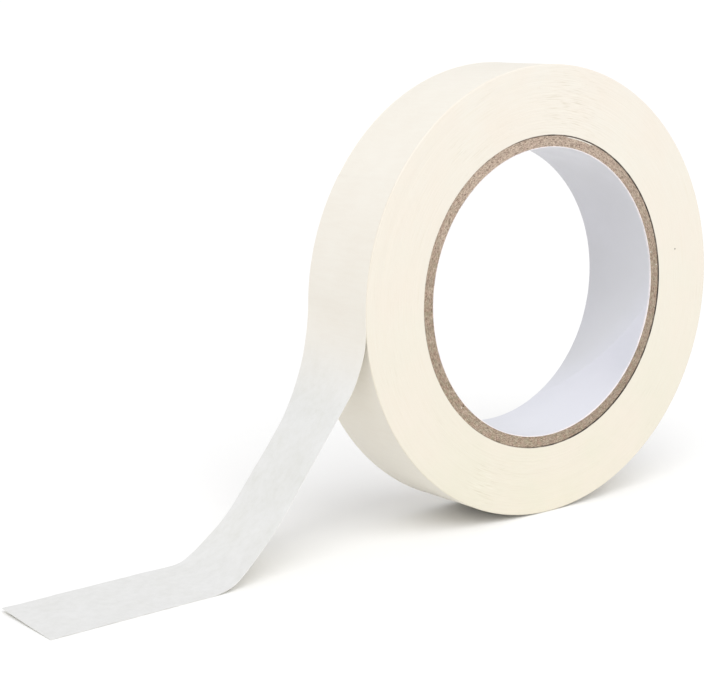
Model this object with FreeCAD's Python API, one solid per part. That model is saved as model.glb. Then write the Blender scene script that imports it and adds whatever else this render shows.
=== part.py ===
"""Masking tape roll standing on its rim, with its free end pulled off and laid on the surface.

Origin: centre of the core's bore. +Y is the roll's axis, +Z is up, and the free end hangs on the -X side.
All sizes are in millimetres.
"""
import FreeCAD, Part

import math
import os

# Core: a spirally wound chipboard tube with a white paper liner inside.
BORE_RADIUS = 38.1            # 76.2 mm, the standard three inch core
CORE_WIDTH = 24.0
LINER_THICKNESS = 0.2
PLY_THICKNESS = 0.6
PLY_COUNT = 5
SEAM_GAP = 0.3                # open butt joint between the edges of one paper strip
SEAM_PITCH = 160.0            # advance of a seam along the core in one full turn
LINER_SEAM_ANGLE = 37.5       # where the liner's seam crosses the middle, below +X
PLY_SEAM_STEP = 137.5         # each ply's seam lies this far round from the last one's

# Tape: crepe paper with a layer of adhesive on its inner side.
TAPE_WIDTH = 24.3
ROLL_RADIUS = 59.4
BACKING_THICKNESS = 0.10
ADHESIVE_THICKNESS = 0.03
TAPE_THICKNESS = BACKING_THICKNESS + ADHESIVE_THICKNESS
CLING_CLEARANCE = 0.05        # keeps the moving stretches off the wound tape

# Free end, seen along the axis. A heading is the tape's direction, measured from straight down towards -X.
CLING_HEADING = 12.0          # where the stretch that still clings to the roll begins
PEEL_HEADING = 2.4            # where the tape leaves the roll
LEAN_HEADING = 40.0           # the straight stretch between the two bends
LAID_HEADING = 90.0           # flat on the surface
PEEL_BEND_RADIUS = 54.0
FLOOR_BEND_RADIUS = 26.0
LAID_LENGTH = 40.5
HINGE_GAP = 0.15              # on each side of the line where two stretches turn

ORIGIN = FreeCAD.Vector(0, 0, 0)
X_AXIS = FreeCAD.Vector(1, 0, 0)
Y_AXIS = FreeCAD.Vector(0, 1, 0)
Z_AXIS = FreeCAD.Vector(0, 0, 1)


def tube(inner_radius, outer_radius, width):
    """A plain tube round the Y axis, centred on the origin."""
    base = FreeCAD.Vector(0, -width / 2, 0)
    outside = Part.makeCylinder(outer_radius, width, base, Y_AXIS)
    inside = Part.makeCylinder(inner_radius, width, base, Y_AXIS)
    return outside.cut(inside)


def seam_cutter(inner_radius, outer_radius, angle):
    """The narrow helical slot between the two edges of one spirally wound strip."""
    overrun = 2.0
    height = CORE_WIDTH + 2 * overrun
    middle_radius = (inner_radius + outer_radius) / 2
    half_depth = (outer_radius - inner_radius) / 2 + 0.2
    helix = Part.makeHelix(SEAM_PITCH, height, middle_radius)
    corners = []
    for depth, side in ((-1, -1), (1, -1), (1, 1), (-1, 1)):
        corners.append(FreeCAD.Vector(middle_radius + depth * half_depth, side * SEAM_GAP / 2, 0))
    profile = Part.makePolygon(corners + corners[:1])
    slot = Part.Wire(helix).makePipeShell([profile], True, True)
    slot.translate(FreeCAD.Vector(0, 0, -height / 2))
    start_angle = angle - 360.0 * (height / 2) / SEAM_PITCH
    slot.rotate(ORIGIN, Z_AXIS, start_angle)
    slot.rotate(ORIGIN, X_AXIS, -90)
    return slot


def wound_ply(inner_radius, thickness, seam_angle):
    """One paper strip of the core, wound round the axis with an open helical butt joint."""
    outer_radius = inner_radius + thickness
    return tube(inner_radius, outer_radius, CORE_WIDTH).cut(seam_cutter(inner_radius, outer_radius, seam_angle))


def side(heading):
    """Unit vector from the tape towards its adhesive side, for a tape with this heading."""
    turn = math.radians(heading)
    return FreeCAD.Vector(math.cos(turn), 0, -math.sin(turn))


def forward(heading):
    """Unit vector along the tape, for a tape with this heading."""
    turn = math.radians(heading)
    return FreeCAD.Vector(-math.sin(turn), 0, -math.cos(turn))


class Bend:
    """A stretch of tape on a circle. Its radius is negative where the centre is on the adhesive side."""

    def __init__(self, centre, radius, start_heading, end_heading):
        self.centre = centre
        self.radius = radius
        self.headings = (start_heading, end_heading)

    def point(self, heading, offset=0.0):
        return self.centre + side(heading) * (self.radius + offset)

    def ends(self, offset):
        return self.point(self.headings[0], offset), self.point(self.headings[1], offset)

    def edge(self, offset):
        first, last = self.ends(offset)
        middle = self.point(sum(self.headings) / 2, offset)
        return Part.Arc(first, middle, last).toShape()

    def length(self):
        return abs(self.radius) * math.radians(abs(self.headings[1] - self.headings[0]))


class Straight:
    """A straight stretch of tape, from a point and along one heading."""

    def __init__(self, start, heading, run):
        self.start = start
        self.heading = heading
        self.run = run

    def ends(self, offset):
        first = self.start + side(self.heading) * offset
        return first, first + forward(self.heading) * self.run

    def edge(self, offset):
        return Part.makeLine(*self.ends(offset))

    def length(self):
        return self.run


def strip(stretches, low_offset, high_offset):
    """A strip of the tape's full width that follows the stretches, between two offsets from its middle surface."""
    low_start = stretches[0].ends(low_offset)[0]
    high_start = stretches[0].ends(high_offset)[0]
    low_end = stretches[-1].ends(low_offset)[1]
    high_end = stretches[-1].ends(high_offset)[1]
    edges = [stretch.edge(low_offset) for stretch in stretches]
    edges.append(Part.makeLine(low_end, high_end))
    edges += [stretch.edge(high_offset) for stretch in reversed(stretches)]
    edges.append(Part.makeLine(high_start, low_start))
    outline = Part.Wire(Part.__sortEdges__(edges))
    face = Part.Face(outline)
    face.translate(FreeCAD.Vector(0, -TAPE_WIDTH / 2, 0))
    return face.extrude(FreeCAD.Vector(0, TAPE_WIDTH, 0))


def free_end():
    """The free end's three stretches, from the roll outwards, each a list of bends and straights."""
    middle = TAPE_THICKNESS / 2
    clinging_radius = ROLL_RADIUS + CLING_CLEARANCE + middle
    gap_on_roll = math.degrees(HINGE_GAP / clinging_radius)
    gap_on_peel = math.degrees(HINGE_GAP / PEEL_BEND_RADIUS)
    gap_on_floor = math.degrees(HINGE_GAP / FLOOR_BEND_RADIUS)

    clinging = Bend(ORIGIN, -clinging_radius, CLING_HEADING, PEEL_HEADING + gap_on_roll)

    peel_point = side(PEEL_HEADING) * -clinging_radius
    peel_centre = peel_point - side(PEEL_HEADING) * PEEL_BEND_RADIUS
    peel_bend = Bend(peel_centre, PEEL_BEND_RADIUS, PEEL_HEADING + gap_on_peel, LEAN_HEADING)

    lean_start = peel_bend.point(LEAN_HEADING)
    floor_level = middle - ROLL_RADIUS
    bend_drop = FLOOR_BEND_RADIUS * (1 - math.sin(math.radians(LEAN_HEADING)))
    lean_run = (lean_start.z - floor_level - bend_drop) / math.cos(math.radians(LEAN_HEADING))
    lean = Straight(lean_start, LEAN_HEADING, lean_run)

    floor_start = lean_start + forward(LEAN_HEADING) * lean_run
    floor_centre = floor_start - side(LEAN_HEADING) * FLOOR_BEND_RADIUS
    hinge_heading = (LEAN_HEADING + LAID_HEADING) / 2
    upper_bend = Bend(floor_centre, FLOOR_BEND_RADIUS, LEAN_HEADING, hinge_heading - gap_on_floor)
    lower_bend = Bend(floor_centre, FLOOR_BEND_RADIUS, hinge_heading + gap_on_floor, LAID_HEADING)
    laid = Straight(lower_bend.point(LAID_HEADING), LAID_HEADING, LAID_LENGTH)

    hinges = (peel_point, lower_bend.point(hinge_heading))
    return {"tail_root": [clinging], "tail_span": [peel_bend, lean, upper_bend], "tail_end": [lower_bend, laid]}, hinges


def build_core():
    """The liner and the chipboard plies, each with its own seam."""
    parts = {"core_liner": wound_ply(BORE_RADIUS, LINER_THICKNESS, LINER_SEAM_ANGLE)}
    for number in range(1, PLY_COUNT + 1):
        inner_radius = BORE_RADIUS + LINER_THICKNESS + (number - 1) * PLY_THICKNESS
        seam_angle = LINER_SEAM_ANGLE + number * PLY_SEAM_STEP
        parts[f"core_ply_{number}"] = wound_ply(inner_radius, PLY_THICKNESS, seam_angle)
    return parts


def build_tape():
    """The wound tape, and the backing and adhesive of each stretch of the free end."""
    core_radius = BORE_RADIUS + LINER_THICKNESS + PLY_COUNT * PLY_THICKNESS
    parts = {"wound_tape": tube(core_radius, ROLL_RADIUS, TAPE_WIDTH)}
    outside = -TAPE_THICKNESS / 2
    glue_line = outside + BACKING_THICKNESS
    inside = TAPE_THICKNESS / 2
    stretches, hinges = free_end()
    for name, stretch in stretches.items():
        parts[f"{name}_backing"] = strip(stretch, outside, glue_line)
        parts[f"{name}_adhesive"] = strip(stretch, glue_line, inside)
        print(f"{name}: {sum(piece.length() for piece in stretch):.2f} mm of tape")
    for name, point in zip(("tail_swing", "tail_bend"), hinges):
        print(f"{name}: hinge line at x {point.x:.3f}, z {point.z:.3f}")
    return parts


def main():
    os.makedirs("parts", exist_ok=True)
    parts = build_core()
    parts.update(build_tape())
    for name, shape in parts.items():
        shape.exportStep(f"parts/{name}.step")
        box = shape.BoundBox
        print(f"{name}: volume {shape.Volume:.2f} mm3, x {box.XMin:.2f} to {box.XMax:.2f}, "
              f"z {box.ZMin:.2f} to {box.ZMax:.2f}, valid {shape.isValid()}")


main()
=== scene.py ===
"""Looks of the masking tape roll: crepe tape wound on a spiral chipboard core, with its free end laid out.

Metres, in the part's own frame: the origin is the bore's centre, +Y is the roll's axis and +Z is up.
"""

import bpy
import numpy as np
from mathutils import Matrix, Vector


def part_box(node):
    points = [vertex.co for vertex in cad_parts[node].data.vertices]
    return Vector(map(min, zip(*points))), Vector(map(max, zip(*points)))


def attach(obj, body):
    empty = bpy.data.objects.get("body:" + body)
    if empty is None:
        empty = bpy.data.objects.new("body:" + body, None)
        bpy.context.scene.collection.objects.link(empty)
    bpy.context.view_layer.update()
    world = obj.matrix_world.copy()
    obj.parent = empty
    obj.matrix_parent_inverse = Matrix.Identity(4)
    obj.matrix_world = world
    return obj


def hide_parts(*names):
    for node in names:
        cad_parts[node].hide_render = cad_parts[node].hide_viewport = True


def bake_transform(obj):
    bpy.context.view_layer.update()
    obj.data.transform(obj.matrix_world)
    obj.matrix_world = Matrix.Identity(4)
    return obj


MM = 0.001
SEED = 24

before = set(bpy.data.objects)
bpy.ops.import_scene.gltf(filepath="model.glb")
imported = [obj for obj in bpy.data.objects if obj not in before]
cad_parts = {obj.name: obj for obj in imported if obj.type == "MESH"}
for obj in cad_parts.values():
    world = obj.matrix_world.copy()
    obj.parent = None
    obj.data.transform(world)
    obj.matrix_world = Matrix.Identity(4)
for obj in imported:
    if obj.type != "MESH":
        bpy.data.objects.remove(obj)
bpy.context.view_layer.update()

# ---------------------------------------------------------------- places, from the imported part
PLY_NODES = sorted(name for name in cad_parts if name.startswith("core_ply_"))
CORE_HALF_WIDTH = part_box("core_liner")[1].y
LINER_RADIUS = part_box("core_liner")[1].z
CORE_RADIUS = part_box(PLY_NODES[-1])[1].z
ROLL_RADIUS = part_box("wound_tape")[1].x
HALF_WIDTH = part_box("wound_tape")[1].y
FLOOR_GAP = 0.02 * MM
FLOOR_Z = -ROLL_RADIUS - FLOOR_GAP

# ---------------------------------------------------------------- the core, as it was designed
# Each strip's seam turns once round in its pitch. The liner's lies that many degrees below +X at the core's
# middle, and each ply's lies a step further round than the one inside it.
BORE_RADIUS = 38.1 * MM
SEAM_PITCH = 160.0 * MM
LINER_SEAM_ANGLE = 37.5
PLY_SEAM_STEP = 137.5
LINER_SEAM_GAP = 0.02 * MM
PLY_SEAM_GAP = 0.3 * MM
LINER_SEAM_LIFT = 0.06 * MM
SEAM_LIFT_REACH = 1.0 * MM
LINER_END_RELIEF = 0.03 * MM
PLY_END_RELIEF = 0.07 * MM
PLY_CLEARANCE = 0.01 * MM

# ---------------------------------------------------------------- the tape
# The insets keep the relief on the roll's sides and outer turn about inside the designed faces. Swells are
# broad and grains are fine, and LAYER_RELIEF is how unevenly the turns lie.
BACKING = 0.10 * MM
ADHESIVE = 0.03 * MM
TAPE = BACKING + ADHESIVE
FILM_CLEARANCE = 0.002 * MM
EDGE_ROUND = 0.40 * MM
SIDE_INSET = 0.04 * MM
SIDE_SWELL = 0.035 * MM
SIDE_GRAIN = 0.006 * MM
LAYER_RELIEF = 0.007 * MM
OUTER_INSET = 0.06 * MM
OUTER_SWELL = 0.035 * MM
OUTER_GRAIN = 0.008 * MM

# The free end's two edges, as bends and straights from the roll to its cut end. Headings are in degrees
# from straight down towards -X. The front edge hangs a little further out, so the tape has a slight twist.
# Past the roll both edges drift to the front, more so along the floor, and the back edge rises a little off
# it. The free end is two pieces that meet where it hangs.
CLING_START = 34.0
BACK_EDGE = {"peel": 2.2, "peel_radius": 58.0 * MM, "lean": 39.5, "low_radius": 53.0 * MM,
             "low": 62.2, "floor_radius": 9.7 * MM, "laid": 46.2 * MM}
FRONT_EDGE = {"peel": -0.4, "peel_radius": 29.5 * MM, "lean": 38.5, "low_radius": 93.7 * MM,
              "low": 50.2, "floor_radius": 14.3 * MM, "laid": 43.1 * MM}
HUNG_LENGTH = 85.0 * MM
HUNG_SLANT = -1.75 / 130
LAID_SLANT = -1.12 / 45
BACK_EDGE_RISE = 0.8 * MM
THINNEST_SHARE = 0.04
NARROWING = 0.25 * MM
RIPPLE_SWELL = 0.10 * MM
RIPPLE_GRAIN = 0.02 * MM
RIPPLE_FADE = 12 * MM
RIPPLE_BEFORE_FLOOR = 4 * MM
LOOSE_FADE = 26 * MM
LAID_FADE = 14 * MM
LAID_BEFORE_FLOOR = 18 * MM
MEETING_LENGTH = 45 * MM

# ---------------------------------------------------------------- small marks on the front of the roll
TOP_PATCH = (8.0 * MM, -HALF_WIDTH, 47.0 * MM)
LOW_PATCH = (-22.0 * MM, -HALF_WIDTH, -47.5 * MM)
SPECK = (47.5 * MM, -HALF_WIDTH, 6.7 * MM)
CORE_PIT = (-28.8 * MM, -CORE_HALF_WIDTH, -25.9 * MM)
CORE_FLECKS = ((-29.4 * MM, -CORE_HALF_WIDTH, -26.3 * MM), (38.3 * MM, -CORE_HALF_WIDTH, 6.8 * MM),
               (40.4 * MM, -CORE_HALF_WIDTH, 3.1 * MM))
TAPE_START_ANGLE = 73.0
TAPE_START_REACH = 7.5

# ---------------------------------------------------------------- the camera
# Its angles are in degrees. It looks past the bore's centre by an offset along its own right and up.
CAMERA_AZIMUTH = -36.21
CAMERA_ELEVATION = 11.13
CAMERA_TILT = -1.43
CAMERA_DISTANCE = 498.35 * MM
CAMERA_RIGHT = -43.70 * MM
CAMERA_UP = -15.46 * MM
CAMERA_LENS = 95.09
CAMERA_SENSOR = 36.0


# ---------------------------------------------------------------- mesh helpers
def eased(share):
    """A share from 0 to 1 that starts and ends gently."""
    return share * share * (3 - 2 * share)


def rise(place, start, length):
    """Zero up to a start, then rising evenly to one over a length."""
    return np.clip((place - start) / length, 0, 1)


def smooth_field(rows, columns, row_cells, column_cells, rng, closed=True):
    """Smooth random values from -1 to 1 on a grid. The columns close on themselves where closed is true."""
    lattice = rng.uniform(-1, 1, (row_cells + 1, column_cells + 1))
    if closed:
        lattice[:, -1] = lattice[:, 0]
    across = np.linspace(0, row_cells, rows)
    along = np.arange(columns) * column_cells / (columns if closed else columns - 1)
    i = np.minimum(across.astype(int), row_cells - 1)
    j = np.minimum(along.astype(int), column_cells - 1)
    u = eased(across - i)[:, None]
    v = eased(along - j)[None, :]
    i = i[:, None]
    j = j[None, :]
    low = lattice[i, j] * (1 - v) + lattice[i, j + 1] * v
    high = lattice[i + 1, j] * (1 - v) + lattice[i + 1, j + 1] * v
    return low * (1 - u) + high * u


def quads(index):
    """The four-cornered faces between neighbours on a grid of vertex numbers."""
    corners = [index[:-1, :-1], index[1:, :-1], index[1:, 1:], index[:-1, 1:]]
    return np.stack(corners, -1).reshape(-1, 4)


def signed_volume(points, faces):
    """The volume that the faces enclose, below zero where they look inwards."""
    total = 0.0
    for first, second in ((1, 2), (2, 3)):
        a = points[faces[:, 0]]
        b = points[faces[:, first]]
        c = points[faces[:, second]]
        total += np.einsum("ij,ij->i", a, np.cross(b, c)).sum()
    return total / 6


def solid(name, points, faces, sharp_angle=35.0):
    """A smooth-shaded object whose faces look outwards, linked to the scene."""
    points = points.reshape(-1, 3)
    if signed_volume(points, faces) < 0:
        faces = faces[:, ::-1]
    mesh = bpy.data.meshes.new(name)
    mesh.from_pydata(points.tolist(), [], faces.tolist())
    mesh.polygons.foreach_set("use_smooth", [True] * len(mesh.polygons))
    mesh.set_sharp_from_angle(angle=np.radians(sharp_angle))
    thing = bpy.data.objects.new(name, mesh)
    bpy.context.scene.collection.objects.link(thing)
    return thing


def ring_of_rings(name, points):
    """A solid from a grid of points that closes on itself both ways, such as a tube with a thick wall."""
    rows, columns = points.shape[:2]
    index = np.arange(rows * columns).reshape(rows, columns)
    index = np.hstack([index, index[:, :1]])
    index = np.vstack([index, index[:1]])
    return solid(name, points, quads(index))


def slab(name, top, bottom):
    """A closed solid between two open grids of the same size, one above the other."""
    rows, columns = top.shape[:2]
    upper = np.arange(rows * columns).reshape(rows, columns)
    lower = upper + rows * columns
    faces = [quads(upper), quads(lower)[:, ::-1]]
    for upper_edge, lower_edge in ((upper[:, 0], lower[:, 0]), (lower[:, -1], upper[:, -1]),
                                   (lower[0], upper[0]), (upper[-1], lower[-1])):
        faces.append(quads(np.stack([lower_edge, upper_edge])))
    return solid(name, np.concatenate([top.reshape(-1, 3), bottom.reshape(-1, 3)]), np.vstack(faces))


# ---------------------------------------------------------------- material helpers
def colour(red, green, blue):
    """A linear colour from its usual 0 to 255 values."""
    values = []
    for channel in (red, green, blue):
        share = channel / 255
        values.append(share / 12.92 if share <= 0.04045 else ((share + 0.055) / 1.055) ** 2.4)
    return (*values, 1.0)


class Material:
    """A node material with one Principled shader, and short ways to add the nodes that feed it."""

    def __init__(self, name, roughness, **sockets):
        self.material = bpy.data.materials.new(name)
        self.material.use_nodes = True
        self.nodes = self.material.node_tree.nodes
        self.links = self.material.node_tree.links
        self.shader = self.nodes["Principled BSDF"]
        self.shader.inputs["Roughness"].default_value = roughness
        for socket, value in sockets.items():
            self.shader.inputs[socket.replace("_", " ")].default_value = value
        self.place = self.nodes.new("ShaderNodeTexCoord").outputs["Object"]

    def link(self, source, target):
        if isinstance(source, bpy.types.NodeSocket):
            self.links.new(source, target)
        else:
            target.default_value = source

    def math(self, operation, first, second=0.0):
        node = self.nodes.new("ShaderNodeMath")
        node.operation = operation
        self.link(first, node.inputs[0])
        self.link(second, node.inputs[1])
        return node.outputs[0]

    def stretched(self, scale):
        """The object's coordinates, scaled along each axis."""
        node = self.nodes.new("ShaderNodeMapping")
        node.inputs["Scale"].default_value = scale
        self.links.new(self.place, node.inputs["Vector"])
        return node.outputs[0]

    def noise(self, scale, detail=2.0, roughness=0.5, vector=None, distortion=0.0):
        node = self.nodes.new("ShaderNodeTexNoise")
        node.inputs["Scale"].default_value = scale
        node.inputs["Detail"].default_value = detail
        node.inputs["Roughness"].default_value = roughness
        node.inputs["Distortion"].default_value = distortion
        self.links.new(vector or self.place, node.inputs["Vector"])
        return node.outputs["Fac"]

    def spread(self, source, low, high, bottom=0.0, top=1.0):
        """Values from low to high, stretched to run from bottom to top and held there."""
        node = self.nodes.new("ShaderNodeMapRange")
        node.inputs["From Min"].default_value = low
        node.inputs["From Max"].default_value = high
        node.inputs["To Min"].default_value = bottom
        node.inputs["To Max"].default_value = top
        self.links.new(source, node.inputs["Value"])
        return node.outputs[0]

    def mix(self, factor, first, second, blend="MIX"):
        node = self.nodes.new("ShaderNodeMix")
        node.data_type = "RGBA"
        node.blend_type = blend
        self.link(factor, node.inputs["Factor"])
        self.link(first, node.inputs[6])
        self.link(second, node.inputs[7])
        return node.outputs[2]

    def attribute(self, name):
        node = self.nodes.new("ShaderNodeAttribute")
        node.attribute_name = name
        return node.outputs["Fac"]

    def axes(self):
        """The object's X, Y and Z at a point, and its distance from the roll's axis."""
        split = self.nodes.new("ShaderNodeSeparateXYZ")
        self.links.new(self.place, split.inputs[0])
        x, y, z = split.outputs
        squares = self.math("ADD", self.math("MULTIPLY", x, x), self.math("MULTIPLY", z, z))
        return x, y, z, self.math("SQRT", squares)

    def strokes(self, thickness, length):
        """A coordinate for marks that lie along the layers, about that thick and that long."""
        x, _, z, radius = self.axes()
        join = self.nodes.new("ShaderNodeCombineXYZ")
        self.links.new(self.math("DIVIDE", radius, thickness), join.inputs["X"])
        self.links.new(self.math("DIVIDE", x, length), join.inputs["Y"])
        self.links.new(self.math("DIVIDE", z, length), join.inputs["Z"])
        return join.outputs[0]

    def near(self, point, full, reach):
        """One within a distance of a point, fading to zero at its reach."""
        node = self.nodes.new("ShaderNodeVectorMath")
        node.operation = "DISTANCE"
        self.links.new(self.place, node.inputs[0])
        node.inputs[1].default_value = point
        return self.spread(node.outputs["Value"], full, reach, 1.0, 0.0)

    def bump(self, height, distance, strength=1.0, after=None):
        node = self.nodes.new("ShaderNodeBump")
        node.inputs["Strength"].default_value = strength
        node.inputs["Distance"].default_value = distance
        self.links.new(height, node.inputs["Height"])
        if after is not None:
            self.links.new(after, node.inputs["Normal"])
        return node.outputs[0]

    def finish(self, base, normal=None, roughness=None):
        self.links.new(base, self.shader.inputs["Base Color"])
        if normal is not None:
            self.links.new(normal, self.shader.inputs["Normal"])
        if roughness is not None:
            self.links.new(roughness, self.shader.inputs["Roughness"])
        return self.material


# ---------------------------------------------------------------- materials
# Painted shade: the dark brown of the shadow painted in the gap between the core and its tape, and in the
# core's small pit.
SHADE_BROWN = colour(42, 28, 14)


def crepe_ridges(material):
    """Fine crepe wrinkles, which run across the tape."""
    return material.noise(900, 3.0, 0.6, material.stretched((1.0, 0.16, 1.0)), distortion=0.4)


def crepe_bump(material):
    """The wrinkles' relief, over a slightly cloudy surface."""
    clouds = material.noise(260, 3.0, 0.6)
    first = material.bump(crepe_ridges(material), 0.035 * MM, 0.55)
    return material.bump(clouds, 0.05 * MM, 0.35, after=first)


def crepe_colours(material):
    """Cream paper with faint clouds and paler wrinkles, and painted shade that makes it a little darker and
    yellower low on the roll.
    """
    clouds = material.spread(material.noise(70, 4.0, 0.62), 0.3, 0.7)
    ridges = material.spread(crepe_ridges(material), 0.35, 0.65)
    ground = material.mix(clouds, colour(233, 227, 216), colour(236, 231, 221))
    wrinkled = material.mix(material.math("MULTIPLY", ridges, 0.25), ground, colour(240, 237, 228))
    # Painted shade: the paper is painted darker low on the roll, towards the floor.
    low = material.spread(material.axes()[2], -22 * MM, -50 * MM, 0.0, 0.36)
    return material.mix(low, wrinkled, colour(214, 210, 196))


def crepe_material():
    """The tape's outer side where it is wound on the roll."""
    material = Material("crepe_on_roll", 0.62, Sheen_Weight=0.12, Sheen_Roughness=0.6)
    return material.finish(crepe_colours(material), crepe_bump(material))


def gap_shade_strength(material):
    """How strong the painted shadow in the gap between the core and its tape is: most towards +X, and patchy.
    """
    x = material.axes()[0]
    one_side = material.spread(x, -30 * MM, 12 * MM, 0.16, 1.0)
    patches = material.spread(material.noise(230, 3.0, 0.65), 0.35, 0.65, -0.42, 0.15)
    total = material.math("ADD", one_side, patches)
    return material.spread(total, 0.0, 1.0)


def tape_edges_material():
    """The side of the roll: the edges of its turns of paper and adhesive, with patches of short dashes, and a
    painted shadow along its gap by the core.
    """
    material = Material("tape_edges", 0.58, Sheen_Weight=0.08, Sheen_Roughness=0.6)
    _, _, z, radius = material.axes()
    height = material.spread(z, -ROLL_RADIUS, ROLL_RADIUS)
    ground = material.mix(height, colour(227, 222, 204), colour(234, 229, 219))
    clouds = material.spread(material.noise(45, 3.0, 0.6), 0.35, 0.65, 0.0, 0.6)
    clouded = material.mix(clouds, ground, colour(234, 224, 211))
    lines = material.noise(1.0, 2.0, 0.6, material.strokes(0.14 * MM, 9.0 * MM))
    lined = material.mix(material.spread(lines, 0.45, 0.75, 0.0, 0.22), clouded, colour(222, 210, 186))
    dashes = material.noise(1.0, 1.0, 0.5, material.strokes(0.28 * MM, 4.4 * MM))
    top_patch = material.near(TOP_PATCH, 3.0 * MM, 16.0 * MM)
    low_patch = material.near(LOW_PATCH, 1.0 * MM, 8.0 * MM)
    faint_patches = material.spread(material.noise(70, 2.0, 0.5), 0.52, 0.75, 0.0, 0.6)
    patches = material.math("MAXIMUM", material.math("MAXIMUM", top_patch, low_patch), faint_patches)
    strength = material.math("MULTIPLY", patches, material.spread(dashes, 0.55, 0.74, 0.0, 0.38))
    dashed = material.mix(strength, lined, colour(190, 178, 150))
    pale = material.math("MULTIPLY", patches, material.spread(dashes, 0.43, 0.30, 0.0, 0.35))
    marked = material.mix(pale, dashed, colour(242, 238, 226))
    speckled = material.mix(material.near(SPECK, 0.12 * MM, 0.30 * MM), marked, colour(88, 78, 66))
    # Painted shade: a dark shadow painted on the tape's innermost edge, where it meets the gap by the core.
    gap = material.spread(radius, CORE_RADIUS + 0.02 * MM, CORE_RADIUS + 0.10 * MM, 1.0, 0.0)
    gap_shaded = material.mix(material.math("MULTIPLY", gap, gap_shade_strength(material)), speckled, SHADE_BROWN)
    return material.finish(gap_shaded, material.bump(lines, 0.05 * MM, 0.35))


def board_colours(material, z, fibres):
    """Short pressed fibres and grains on blotches of reddish and olive brown, rosier towards the top."""
    grains = material.noise(2300, 3.0, 0.7)
    tints = material.spread(material.noise(760, 2.0, 0.6), 0.40, 0.60)
    clumps = material.spread(material.noise(300, 2.0, 0.6), 0.35, 0.65)
    ground = material.mix(tints, colour(183, 154, 132), colour(168, 156, 128))
    rosy = material.mix(material.spread(z, -4 * MM, 38 * MM, 0.0, 0.7), ground, colour(186, 162, 148))
    clumped = material.mix(material.math("MULTIPLY", clumps, 0.4), rosy, colour(196, 178, 160))
    pale = material.mix(material.spread(fibres, 0.52, 0.66, 0.0, 0.9), clumped, colour(224, 206, 182))
    dark = material.mix(material.spread(fibres, 0.48, 0.35, 0.0, 0.9), pale, colour(100, 78, 56))
    grainy = material.mix(material.spread(grains, 0.56, 0.68, 0.0, 0.65), dark, colour(88, 68, 56))
    return material.mix(material.spread(grains, 0.36, 0.28, 0.0, 0.75), grainy, colour(230, 218, 204))


def board_painted_shade(material, x, z):
    """How much painted shade darkens the board: more towards +X and low down, and a little at its -X end."""
    sideways = material.spread(x, -10 * MM, 38 * MM, 0.15, 0.32)
    upwards = material.spread(z, -30 * MM, 36 * MM, 0.05, -0.18)
    far_side = material.spread(x, -26 * MM, -40 * MM, 0.0, 0.15)
    total = material.math("ADD", material.math("ADD", sideways, upwards), far_side)
    return material.spread(total, 0.0, 1.0)


def tape_start(material, x, z, radius):
    """One on the thin pale line near the top of the core's rim, where the tape's first turn starts."""
    middle, reach = np.radians([TAPE_START_ANGLE, TAPE_START_REACH])
    angle = material.math("ARCTAN2", z, x)
    off_middle = material.math("ABSOLUTE", material.math("SUBTRACT", angle, middle))
    off_line = material.math("ABSOLUTE", material.math("SUBTRACT", radius, CORE_RADIUS - 0.42 * MM))
    return material.math("MULTIPLY", material.spread(off_middle, 0.7 * reach, reach, 1.0, 0.0),
                         material.spread(off_line, 0.08 * MM, 0.16 * MM, 1.0, 0.0))


def chipboard_material():
    """Raw chipboard with painted shade towards +X and low down, a painted shadow along its gap by the tape,
    the tape's pale start, and a pit and flecks.
    """
    material = Material("chipboard", 0.9, Sheen_Weight=0.15, Sheen_Roughness=0.7)
    x, _, z, radius = material.axes()
    fibres = material.noise(1.0, 3.0, 0.75, material.strokes(0.24 * MM, 0.75 * MM))
    base = board_colours(material, z, fibres)
    # Painted shade: the board is painted darker towards +X and low down.
    base = material.mix(board_painted_shade(material, x, z), base, colour(84, 62, 50))
    # Painted shade: a shadow painted along the board's outer rim, where it meets the gap by the tape.
    rim_shade = material.spread(radius, CORE_RADIUS - 0.38 * MM, CORE_RADIUS - 0.20 * MM)
    base = material.mix(material.math("MULTIPLY", rim_shade, gap_shade_strength(material)), base, SHADE_BROWN)
    base = material.mix(tape_start(material, x, z, radius), base, colour(238, 232, 222))
    for point in CORE_FLECKS:
        base = material.mix(material.near(point, 0.10 * MM, 0.28 * MM), base, colour(236, 230, 222))
    # Painted shade: the small pit is painted dark brown as its shade.
    base = material.mix(material.near(CORE_PIT, 0.12 * MM, 0.30 * MM), base, SHADE_BROWN)
    return material.finish(base, material.bump(fibres, 0.18 * MM, 0.8))


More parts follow.
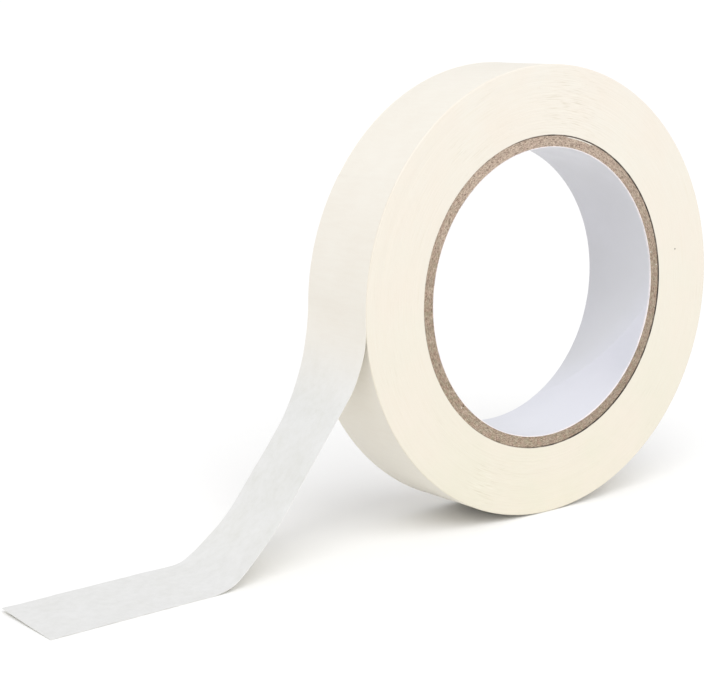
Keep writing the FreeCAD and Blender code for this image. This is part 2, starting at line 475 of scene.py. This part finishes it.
def liner_material():
    """Smooth white coated paper with a soft gloss, bluer and paler by its seam, with a pale front edge, and
    painted light that makes it paler low in the bore.
    """
    material = Material("liner_paper", 0.34, Specular_IOR_Level=0.45)
    _, y, z, _ = material.axes()
    clouds = material.spread(material.noise(60, 3.0, 0.5), 0.3, 0.7)
    grey = material.mix(clouds, colour(207, 207, 211), colour(211, 211, 216))
    blue = material.mix(clouds, colour(211, 212, 220), colour(217, 217, 225))
    turn = material.attribute("turn")
    paler = material.mix(material.spread(turn, 0.17, 0.0, 0.0, 0.75), grey, colour(214, 215, 219))
    before_seam = material.spread(turn, 0.70, 0.88)
    past_seam = material.spread(turn, 0.045, 0.0, 0.0, 0.65)
    tint = material.math("MAXIMUM", before_seam, past_seam)
    tinted = material.mix(tint, paler, blue)
    # Painted light: the liner is painted paler low in the bore, where light from above falls on it.
    low = material.spread(z, -24 * MM, -38 * MM)
    ground = material.mix(low, tinted, colour(224, 225, 232))
    ridge = material.math("MAXIMUM", material.spread(turn, 0.005, 0.0), material.spread(turn, 0.995, 1.0))
    ridged = material.mix(material.math("MULTIPLY", ridge, 0.12), ground, colour(234, 234, 240))
    frayed = material.spread(material.noise(700, 2.0, 0.6), 0.35, 0.6, 0.35, 1.0)
    edge = material.spread(y, -CORE_HALF_WIDTH + 0.60 * MM, -CORE_HALF_WIDTH + 0.15 * MM)
    edged = material.mix(material.math("MULTIPLY", edge, frayed), ridged, colour(246, 238, 238))
    fibres = material.noise(700, 3.0, 0.6)
    rough = material.spread(material.noise(150, 2.0, 0.5), 0.3, 0.7, 0.28, 0.42)
    return material.finish(edged, material.bump(fibres, 0.02 * MM, 0.3), rough)


def backing_material():
    """The tape's outer side: cream on the roll, thin, cloudy and greyer where it hangs free, and painted a
    little darker as painted shade where it lies on the floor.
    """
    material = Material("crepe_backing", 0.6, Sheen_Weight=0.12, Sheen_Roughness=0.6)
    wide = material.spread(material.noise(120, 5.0, 0.68), 0.32, 0.68)
    close = material.spread(material.noise(480, 4.0, 0.7), 0.3, 0.7)
    hung = material.mix(wide, colour(218, 218, 214), colour(226, 226, 225))
    # Painted shade: the part laid on the floor is painted a little darker, so it is no brighter than the
    # hanging part under the light from above.
    laid = material.mix(wide, colour(215, 215, 213), colour(221, 221, 221))
    single = material.mix(material.attribute("laid"), hung, laid)
    mottled = material.mix(material.math("MULTIPLY", close, 0.4), single, colour(231, 231, 230))
    base = material.mix(material.attribute("loose"), crepe_colours(material), mottled)
    return material.finish(base, crepe_bump(material))


def adhesive_material():
    """The thin tacky film on the tape's inner side."""
    material = Material("adhesive_film", 0.32, Specular_IOR_Level=0.5)
    clouds = material.spread(material.noise(160, 4.0, 0.65), 0.3, 0.7)
    base = material.mix(clouds, colour(238, 235, 224), colour(244, 242, 233))
    return material.finish(base, material.bump(material.noise(500, 3.0, 0.6), 0.03 * MM, 0.5))


def floor_material():
    """A plain pale studio floor."""
    material = Material("floor", 0.75)
    return material.finish(material.mix(material.noise(0.6), colour(249, 249, 249), colour(251, 251, 251)))


# ---------------------------------------------------------------- the wound tape
def side_relief(radii, turn, rng):
    """How far each place on the roll's side stands in or out: each turn a little, and broad swells."""
    layers = 160
    layer = (radii[:, None] - CORE_RADIUS) / TAPE - turn[None, :]
    steps = rng.normal(0, 1, layers)
    relief = np.interp(layer, np.arange(layers) - 2, steps) * LAYER_RELIEF
    relief += smooth_field(len(radii), len(turn), 9, 7, rng) * SIDE_SWELL
    relief += smooth_field(len(radii), len(turn), 40, 60, rng) * SIDE_GRAIN
    return relief


def build_wound_tape():
    """The winding: its two sides show every turn's edge, and its outer turn carries the crepe."""
    rng = np.random.default_rng(SEED)
    segments = 400
    side_rings = 150
    outer_rings = 44
    turn = np.arange(segments) / segments
    full = np.ones(segments)

    radii = np.linspace(CORE_RADIUS, ROLL_RADIUS - EDGE_ROUND, side_rings)
    relief = side_relief(radii, turn, rng)
    quarter = np.radians(np.arange(15, 90, 15))
    round_radii = ROLL_RADIUS - EDGE_ROUND + EDGE_ROUND * np.sin(quarter)
    round_depths = EDGE_ROUND * (1 - np.cos(quarter))
    swell = smooth_field(outer_rings, segments, 5, 26, rng) * OUTER_SWELL
    swell += smooth_field(outer_rings, segments, 12, 90, rng) * OUTER_GRAIN
    outer_y = np.linspace(-HALF_WIDTH + EDGE_ROUND, HALF_WIDTH - EDGE_ROUND, outer_rings)

    front = -HALF_WIDTH + SIDE_INSET + relief
    back = HALF_WIDTH - SIDE_INSET - np.roll(relief, segments // 3, axis=1)
    rounding = [(radius * full, depth) for radius, depth in zip(round_radii, round_depths)]
    rings = [(radius * full, y) for radius, y in zip(radii, front)]
    rings += [(row, front[-1] + depth) for row, depth in rounding]
    rings += [(ROLL_RADIUS - OUTER_INSET + row, y * full) for row, y in zip(swell, outer_y)]
    rings += [(row, -front[-1] - depth) for row, depth in rounding[::-1]]
    rings += [(radius * full, y) for radius, y in zip(radii[::-1], back[::-1])]
    rings += [(CORE_RADIUS * full, share * HALF_WIDTH * full) for share in (0.5, 0.0, -0.5)]
    radius, y = np.array(rings).transpose(1, 0, 2)
    angle = 2 * np.pi * turn
    points = np.stack([radius * np.cos(angle), y, radius * np.sin(angle)], -1)
    winding = ring_of_rings("wound_crepe_tape", points)

    winding.data.materials.append(tape_edges_material())
    winding.data.materials.append(crepe_material())
    first_outer = side_rings + len(quarter) - 1
    last_outer = first_outer + outer_rings + 1
    rows = np.repeat(np.arange(len(rings)), segments)
    on_outside = (rows >= first_outer) & (rows < last_outer)
    winding.data.polygons.foreach_set("material_index", on_outside.astype(int).tolist())
    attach(winding, "roll")
    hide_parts("wound_tape")


# ---------------------------------------------------------------- the core
def seam_angle(middle_angle, y):
    """Where a seam lies at each place across the core, turning with the spiral."""
    return -np.radians(middle_angle) - 2 * np.pi * y / SEAM_PITCH


def seam_face(loop, middle, wall_steps, end_steps):
    """Quads over one face of a seam: a loop of points makes its rim and a block of others its middle."""
    face = np.empty((wall_steps, end_steps + 1), int)
    outer = wall_steps + end_steps - 1
    face[:, 0] = loop[:wall_steps]
    face[-1, 1:-1] = loop[wall_steps:outer]
    face[:, -1] = loop[outer:outer + wall_steps][::-1]
    face[0, 1:-1] = loop[outer + wall_steps:][::-1]
    face[1:-1, 1:-1] = middle
    return quads(face)


def build_spiral_tube(name, inner, outer, middle_angle, gap, end_relief, lift, rng):
    """One spirally wound strip of the core, with rough cut ends and a narrow gap at its seam."""
    segments = 520
    wall_steps = 17
    thickness = outer - inner
    end_steps = max(2, round(thickness / (0.12 * MM)))
    fine_share = 0.012
    near_seam = np.linspace(0, 1, 9)[:-1] * fine_share
    elsewhere = np.linspace(fine_share, 1 - fine_share, segments)
    share = np.concatenate([near_seam, elsewhere, 1 - near_seam[::-1]])
    across = np.linspace(-CORE_HALF_WIDTH, CORE_HALF_WIDTH, wall_steps)
    radial = np.linspace(inner, outer, end_steps + 1)

    def place(radius, y, seam_y, share):
        """Points at shares of the way round from the seam, whose line is taken at its own place across."""
        span = 2 * np.pi - gap / radius
        angle = seam_angle(middle_angle, seam_y) + gap / 2 / radius + share * span
        from_seam = np.minimum(share, 1 - share) * span * radius
        lifted = lift * np.exp(-(from_seam / SEAM_LIFT_REACH) ** 2) * (radius < inner + thickness / 2)
        local = radius - lifted
        return np.stack([local * np.cos(angle), np.full_like(share, y), local * np.sin(angle)], -1)

    loop_radius = np.concatenate([np.full(wall_steps, inner), radial[1:-1], np.full(wall_steps, outer),
                                  radial[::-1][1:-1]])
    back = np.full(end_steps - 1, CORE_HALF_WIDTH)
    loop_y = np.concatenate([across, back, across[::-1], -back])
    count = len(share)
    rough = [smooth_field(end_steps + 1, count, max(1, end_steps), 330, rng) for _ in range(2)]
    coarse = [smooth_field(end_steps + 1, count, 1, 60, rng) for _ in range(2)]
    recess = [end_relief * (0.6 * rough[k] + 0.4 * coarse[k] + 1.0) for k in range(2)]

    rows = []
    for radius, y in zip(loop_radius, loop_y):
        level = int(round((radius - inner) / thickness * end_steps))
        row_y = y
        if np.isclose(y, CORE_HALF_WIDTH):
            row_y = y - recess[1][level]
        elif np.isclose(y, -CORE_HALF_WIDTH):
            row_y = y + recess[0][level]
        rows.append(place(radius, row_y, y, share))
    points = np.array(rows).reshape(-1, 3)

    index = np.arange(len(rows) * count).reshape(len(rows), count)
    faces = [quads(np.vstack([index, index[:1]]))]
    for column, end, turned in ((0, 0.0, -1), (-1, 1.0, 1)):
        shape = (wall_steps - 2, end_steps - 1)
        middle = len(points) + np.arange(shape[0] * shape[1]).reshape(shape)
        inside = [place(radius, y, y, np.array([end]))[0] for y in across[1:-1] for radius in radial[1:-1]]
        points = np.concatenate([points, inside])
        faces.append(seam_face(index[:, column], middle, wall_steps, end_steps)[:, ::turned])
    tube = solid(name, points, np.vstack(faces))
    values = np.zeros(len(points), np.float32)
    values[:len(rows) * count] = np.tile(share, len(rows))
    tube.data.attributes.new("turn", "FLOAT", "POINT").data.foreach_set("value", values)
    return tube


def build_core():
    """The white liner and the chipboard plies, each wound with its own seam."""
    rng = np.random.default_rng(SEED + 1)
    board = chipboard_material()
    liner = build_spiral_tube("core_liner_paper", BORE_RADIUS, LINER_RADIUS, LINER_SEAM_ANGLE, LINER_SEAM_GAP,
                              LINER_END_RELIEF, LINER_SEAM_LIFT, rng)
    liner.data.materials.append(liner_material())
    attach(liner, "roll")
    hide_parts("core_liner")
    inner = LINER_RADIUS
    for number, node in enumerate(PLY_NODES, start=1):
        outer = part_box(node)[1].z
        angle = LINER_SEAM_ANGLE + number * PLY_SEAM_STEP
        ply = build_spiral_tube(f"chipboard_ply_{number}", inner + PLY_CLEARANCE, outer, angle, PLY_SEAM_GAP,
                                PLY_END_RELIEF, 0.0, rng)
        ply.data.materials.append(board)
        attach(ply, "roll")
        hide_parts(node)
        inner = outer


# ---------------------------------------------------------------- the free end
def edge_line(edge, samples):
    """One edge of the free end, as samples of (x, z, heading) from where it still clings to its cut end."""
    peel, lean, low = np.radians([edge["peel"], edge["lean"], edge["low"]])
    start = np.radians(CLING_START)
    flat = np.pi / 2
    drop = ROLL_RADIUS * (1 + np.sin(peel))
    drop -= edge["peel_radius"] * (np.sin(lean) - np.sin(peel))
    drop -= edge["low_radius"] * (np.sin(low) - np.sin(lean))
    drop -= edge["floor_radius"] * (1 - np.sin(low))
    lengths = [ROLL_RADIUS * (start - peel), edge["peel_radius"] * (lean - peel), drop / np.cos(lean),
               edge["low_radius"] * (low - lean), edge["floor_radius"] * (flat - low), edge["laid"]]
    stations = np.concatenate([[0], np.cumsum(lengths)])
    headings = [start, peel, lean, lean, low, flat, flat]
    walk = np.linspace(0, stations[-1], 4001)
    heading = np.interp(walk, stations, headings)
    step = walk[1]
    middle = (heading[1:] + heading[:-1]) / 2
    x = -ROLL_RADIUS * np.cos(start) - np.concatenate([[0], np.cumsum(np.sin(middle) * step)])
    z = ROLL_RADIUS * np.sin(start) - np.concatenate([[0], np.cumsum(np.cos(middle) * step)])
    picks = np.linspace(0, stations[-1], samples)
    return np.stack([np.interp(picks, walk, values) for values in (x, z, heading)], -1), stations


def grown_share(place, peel_place):
    """How much of its thickness the clinging stretch has, from its thin end to where it peels."""
    return np.clip(place / peel_place, THINNEST_SHARE, 1)[:, None]


def strip_grid(samples, across):
    """The strip's inner side: points, outward directions and places, and where it peels and lands."""
    back, back_stations = edge_line(BACK_EDGE, samples)
    front, front_stations = edge_line(FRONT_EDGE, samples)
    stations = (back_stations + front_stations) / 2
    peel_place = stations[1]
    floor_place = stations[5]
    place = np.linspace(0, stations[-1], samples)
    share = np.linspace(0, 1, across)[None, :, None]
    line = front[:, None, :] * (1 - share) + back[:, None, :] * share
    x, z, heading = line[..., 0], line[..., 1], line[..., 2]
    past_peel = np.clip(place - peel_place, 0, None)[:, None]
    sideways = HUNG_SLANT * past_peel + LAID_SLANT * np.clip(past_peel - HUNG_LENGTH, 0, None)
    half_width = HALF_WIDTH - NARROWING * (1 - grown_share(place, peel_place))
    y = np.linspace(-1, 1, across)[None, :] * half_width + sideways
    z = z + share[..., 0] * BACK_EDGE_RISE * eased(rise(past_peel, 0, HUNG_LENGTH))
    outwards = np.stack([-np.cos(heading), np.zeros_like(heading), np.sin(heading)], -1)
    return np.stack([x, y, z], -1), outwards, place, peel_place, floor_place


def strip_ripple(place, across, peel_place, floor_place, rng):
    """Slight ripples where the strip is off the roll, which only lift it where it lies on the floor."""
    ripple = smooth_field(len(place), across, 30, 3, rng, closed=False) * RIPPLE_SWELL
    ripple += smooth_field(len(place), across, 90, 8, rng, closed=False) * RIPPLE_GRAIN
    hanging = place[:, None] < floor_place - RIPPLE_BEFORE_FLOOR
    return np.where(hanging, ripple, np.abs(ripple)) * rise(place, peel_place, RIPPLE_FADE)[:, None]


def paint_shares(piece, shares, across):
    """Named values for a slab's material, one for each row of its points."""
    for title, values in shares.items():
        layer = piece.data.attributes.new(title, "FLOAT", "POINT")
        layer.data.foreach_set("value", np.tile(np.repeat(values, across), 2).astype(np.float32))


def build_free_end():
    """The free end: crepe backing over a film of adhesive, in an upper and a lower piece that meet unseen."""
    rng = np.random.default_rng(SEED + 2)
    across = 25
    points, outwards, place, peel_place, floor_place = strip_grid(300, across)
    grown = grown_share(place, peel_place)[..., None]
    inner_side = points + outwards * strip_ripple(place, across, peel_place, floor_place, rng)[..., None]
    film_top = inner_side + outwards * ADHESIVE * grown
    paper_foot = film_top + outwards * FILM_CLEARANCE
    paper_top = inner_side + outwards * TAPE * grown

    peel = int(np.searchsorted(place, peel_place))
    meeting = int(np.searchsorted(place, peel_place + MEETING_LENGTH))
    upper_rows = slice(0, meeting + 1)
    lower_rows = slice(meeting, None)
    film_rows = slice(peel, meeting + 1)
    upper = slab("free_end_upper_paper", paper_top[upper_rows], paper_foot[upper_rows])
    lower = slab("free_end_lower_paper", paper_top[lower_rows], paper_foot[lower_rows])
    upper_film = slab("free_end_upper_adhesive", film_top[film_rows], inner_side[film_rows])
    lower_film = slab("free_end_lower_adhesive", film_top[lower_rows], inner_side[lower_rows])
    loose = eased(rise(place, peel_place, LOOSE_FADE))
    # laid is the share of painted shade where the strip lies on the floor.
    laid = rise(place, floor_place - LAID_BEFORE_FLOOR, LAID_FADE)
    for piece, rows in ((upper, upper_rows), (lower, lower_rows)):
        paint_shares(piece, {"loose": loose[rows], "laid": laid[rows]}, across)

    paper = backing_material()
    film = adhesive_material()
    pieces = ((upper, paper, "tape_backing", ("tail_root_backing", "tail_span_backing")),
              (lower, paper, "tape_backing", ("tail_end_backing",)),
              (upper_film, film, "tape_adhesive", ("tail_root_adhesive", "tail_span_adhesive")),
              (lower_film, film, "tape_adhesive", ("tail_end_adhesive",)))
    for piece, look, slot, nodes in pieces:
        piece.data.materials.append(look)
        if piece in (upper, upper_film):
            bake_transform(piece)
        else:
            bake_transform(piece)
        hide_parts(*nodes)


# ---------------------------------------------------------------- studio
def make_camera():
    """The camera, at the photograph's viewing angle."""
    azimuth, elevation, tilt = np.radians([CAMERA_AZIMUTH, CAMERA_ELEVATION, CAMERA_TILT])
    level_right = Vector((np.cos(azimuth), np.sin(azimuth), 0))
    level_back = Vector((np.sin(azimuth), -np.cos(azimuth), 0))
    back = level_back * np.cos(elevation) + Vector((0, 0, np.sin(elevation)))
    level_up = back.cross(level_right)
    right = level_right * np.cos(tilt) + level_up * np.sin(tilt)
    up = level_up * np.cos(tilt) - level_right * np.sin(tilt)
    lens = bpy.data.cameras.new("camera")
    lens.sensor_fit = "HORIZONTAL"
    lens.sensor_width = CAMERA_SENSOR
    lens.lens = CAMERA_LENS
    lens.clip_start = 10 * MM
    camera = bpy.data.objects.new("camera", lens)
    place = Matrix((right, up, back)).transposed().to_4x4()
    place.translation = back * CAMERA_DISTANCE + right * CAMERA_RIGHT + up * CAMERA_UP
    camera.matrix_world = place
    bpy.context.scene.collection.objects.link(camera)
    bpy.context.scene.camera = camera


def make_floor():
    """A plain pale floor that runs out of sight."""
    size = 60.0
    corners = [(-size, -size, 0), (size, -size, 0), (size, size, 0), (-size, size, 0)]
    mesh = bpy.data.meshes.new("floor")
    mesh.from_pydata(corners, [], [(0, 1, 2, 3)])
    floor = bpy.data.objects.new("floor", mesh)
    floor.location.z = FLOOR_Z
    floor.data.materials.append(floor_material())
    bpy.context.scene.collection.objects.link(floor)


def make_light():
    """A bright even room, with one broad soft light from above and in front, a little to the left."""
    world = bpy.data.worlds.new("studio")
    world.use_nodes = True
    ground = world.node_tree.nodes["Background"]
    ground.inputs["Color"].default_value = (1.0, 1.0, 1.0, 1.0)
    ground.inputs["Strength"].default_value = 0.75
    bpy.context.scene.world = world
    light = bpy.data.lights.new("broad_light", "SUN")
    light.energy = 1.45
    light.angle = np.radians(50)
    sun = bpy.data.objects.new("broad_light", light)
    sun.rotation_euler = Vector((-0.25, -0.55, 0.80)).to_track_quat("Z", "Y").to_euler()
    bpy.context.scene.collection.objects.link(sun)
    bpy.context.scene.view_settings.view_transform = "Standard"


make_camera()
make_floor()
make_light()
build_free_end()
build_wound_tape()
build_core()
